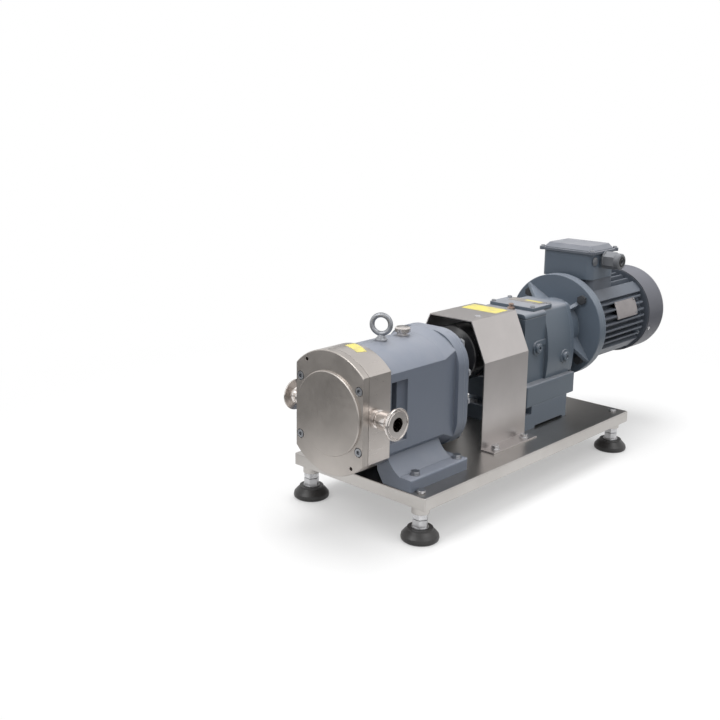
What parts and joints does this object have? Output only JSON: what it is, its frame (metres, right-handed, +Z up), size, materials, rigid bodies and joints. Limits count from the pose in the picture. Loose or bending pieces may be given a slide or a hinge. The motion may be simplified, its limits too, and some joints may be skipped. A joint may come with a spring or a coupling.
{
  "type": "rotary lobe pump",
  "caption": "Rotary lobe pump with stacked lobe rotors, clamp ports, jaw coupling under a guard, in-line geared motor and a levelled base tray.",
  "frame": {"origin": "on the floor below the middle of the whole set, between the four feet across", "axes": "+Y back along the shafts, from the pump cover to the motor fan; +X towards the right port as seen from the front; +Z up"},
  "size_m": [0.2974, 0.915, 0.386],
  "materials": {
    "stainless_brushed": "fine brushed, satin",
    "stainless_turned": "turned and polished",
    "pump_paint": "satin blue-grey paint on casting",
    "drive_paint": "satin blue-grey paint on casting",
    "lid_paint": "satin grey paint",
    "cover_plate": "light grey-beige paint",
    "zinc_plated": "bright zinc plating",
    "machined_steel": "ground and oiled",
    "bearing_steel": "ground",
    "coupling_iron": "blackened and turned",
    "spider_rubber": "moulded, matte",
    "black_rubber": "moulded, matte",
    "seal_carbon": "lapped carbon",
    "stator_steel": "varnished laminations",
    "fan_plastic": "moulded",
    "gland_paint": "satin paint",
    "pad_rubber": "moulded, matte"
  },
  "bodies": {
    "frame": {"adapter_flange": "drive_paint", "base_tray": "stainless_brushed", "bearing_housing": "pump_paint", "breather_plug": "zinc_plated", "cable_gland": "gland_paint", "coupling_guard": "stainless_brushed", "cover_screws": "stainless_turned", "cover_seal": "black_rubber", "eye_bolt": "zinc_plated", "fan_cowl": "drive_paint", "flange_bolts": "zinc_plated", "foot_bolts": "zinc_plated", "front_cover": "stainless_brushed", "gear_bearings": "bearing_steel", "gear_case": "drive_paint", "gear_case_plugs": "zinc_plated", "gear_cover": "pump_paint", "gear_cover_bolts": "zinc_plated", "gear_top_cover": "cover_plate", "guard_bolts": "zinc_plated", "lock_nuts": "zinc_plated", "motor_flange_shield": "drive_paint", "motor_frame": "drive_paint", "port_left": "stainless_turned", "port_right": "stainless_turned", "pump_bearings": "bearing_steel", "rear_end_shield": "drive_paint", "riser_block": "drive_paint", "rotor_case": "stainless_brushed", "shaft_oil_seals": "black_rubber", "stator_core": "stator_steel", "terminal_box": "drive_paint", "terminal_lid": "lid_paint"},
    "drive_line": {"drive_shaft": "machined_steel", "upper_rotor": "stainless_turned", "upper_rotor_nut": "stainless_turned", "upper_seal_ring": "seal_carbon", "upper_timing_gear": "machined_steel", "pump_coupling_hub": "coupling_iron", "coupling_spider": "spider_rubber", "gear_coupling_hub": "coupling_iron", "output_shaft": "machined_steel", "output_gear": "machined_steel"},
    "driven_line": {"driven_shaft": "machined_steel", "lower_rotor": "stainless_turned", "lower_rotor_nut": "stainless_turned", "lower_seal_ring": "seal_carbon", "lower_timing_gear": "machined_steel"},
    "lay_line": {"layshaft": "machined_steel", "layshaft_gear": "machined_steel"},
    "motor_line": {"motor_rotor": "machined_steel", "cooling_fan": "fan_plastic"},
    "foot_front_right": {"foot_pad_front_right": "pad_rubber", "foot_stud_front_right": "zinc_plated"},
    "foot_front_left": {"foot_pad_front_left": "pad_rubber", "foot_stud_front_left": "zinc_plated"},
    "foot_rear_right": {"foot_pad_rear_right": "pad_rubber", "foot_stud_rear_right": "zinc_plated"},
    "foot_rear_left": {"foot_pad_rear_left": "pad_rubber", "foot_stud_rear_left": "zinc_plated"}
  },
  "joints": [
    {"name": "drive_turn", "type": "hinge", "parent": "frame", "child": "drive_line", "pos_m": [0, -0.1535, 0.231], "axis": [0, 1, 0], "continuous": true},
    {"name": "driven_turn", "type": "hinge", "parent": "frame", "child": "driven_line", "pos_m": [0, -0.3335, 0.153], "axis": [0, 1, 0], "continuous": true},
    {"name": "layshaft_turn", "type": "hinge", "parent": "frame", "child": "lay_line", "pos_m": [0, 0.0565, 0.171], "axis": [0, 1, 0], "continuous": true},
    {"name": "motor_turn", "type": "hinge", "parent": "frame", "child": "motor_line", "pos_m": [0, 0.2865, 0.231], "axis": [0, 1, 0], "continuous": true},
    {"name": "front_right_foot_adjust", "type": "slide", "parent": "frame", "child": "foot_front_right", "axis": [0, 0, -1], "range_m": [0, 0.015]},
    {"name": "front_left_foot_adjust", "type": "slide", "parent": "frame", "child": "foot_front_left", "axis": [0, 0, -1], "range_m": [0, 0.015]},
    {"name": "rear_right_foot_adjust", "type": "slide", "parent": "frame", "child": "foot_rear_right", "axis": [0, 0, -1], "range_m": [0, 0.015]},
    {"name": "rear_left_foot_adjust", "type": "slide", "parent": "frame", "child": "foot_rear_left", "axis": [0, 0, -1], "range_m": [0, 0.015]}
  ],
  "couplings": [
    {"joint": "driven_turn", "follows": "drive_turn", "ratio": -1},
    {"joint": "layshaft_turn", "follows": "drive_turn", "ratio": -2.3333},
    {"joint": "motor_turn", "follows": "drive_turn", "ratio": 5.6667}
  ]
}
